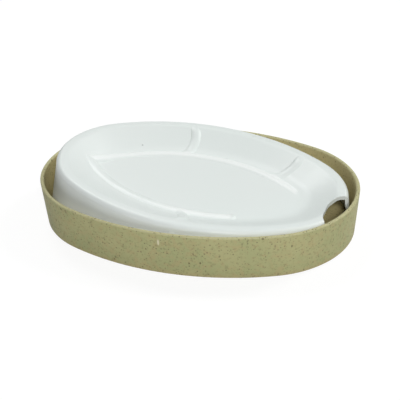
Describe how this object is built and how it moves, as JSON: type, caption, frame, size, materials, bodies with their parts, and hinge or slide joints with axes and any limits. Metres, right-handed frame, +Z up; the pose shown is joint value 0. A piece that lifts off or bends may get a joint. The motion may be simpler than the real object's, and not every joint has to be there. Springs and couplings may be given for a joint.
{
  "type": "soap dish",
  "caption": "Oval soap dish: a shallow speckled tray with a loose white insert whose sloped, leaf-veined hollow holds a bar of soap and drains through a notch.",
  "frame": {"origin": "middle of the tray's base, at the bottom centre of the bounding box", "axes": "+X along the length towards the drain end, +Y across to the back, +Z up"},
  "size_m": [0.14, 0.095, 0.0287],
  "materials": {
    "tray_composite": "satin, olive tan with fine dark fibre specks",
    "insert_white": "smooth soft gloss, white"
  },
  "bodies": {
    "tray": {"outer_tray": "tray_composite"},
    "insert": {"soap_insert": "insert_white"}
  },
  "joints": [
    {"name": "insert_lift", "type": "slide", "parent": "tray", "child": "insert", "axis": [0, 0, 1], "range_m": [0, 0.04]}
  ]
}
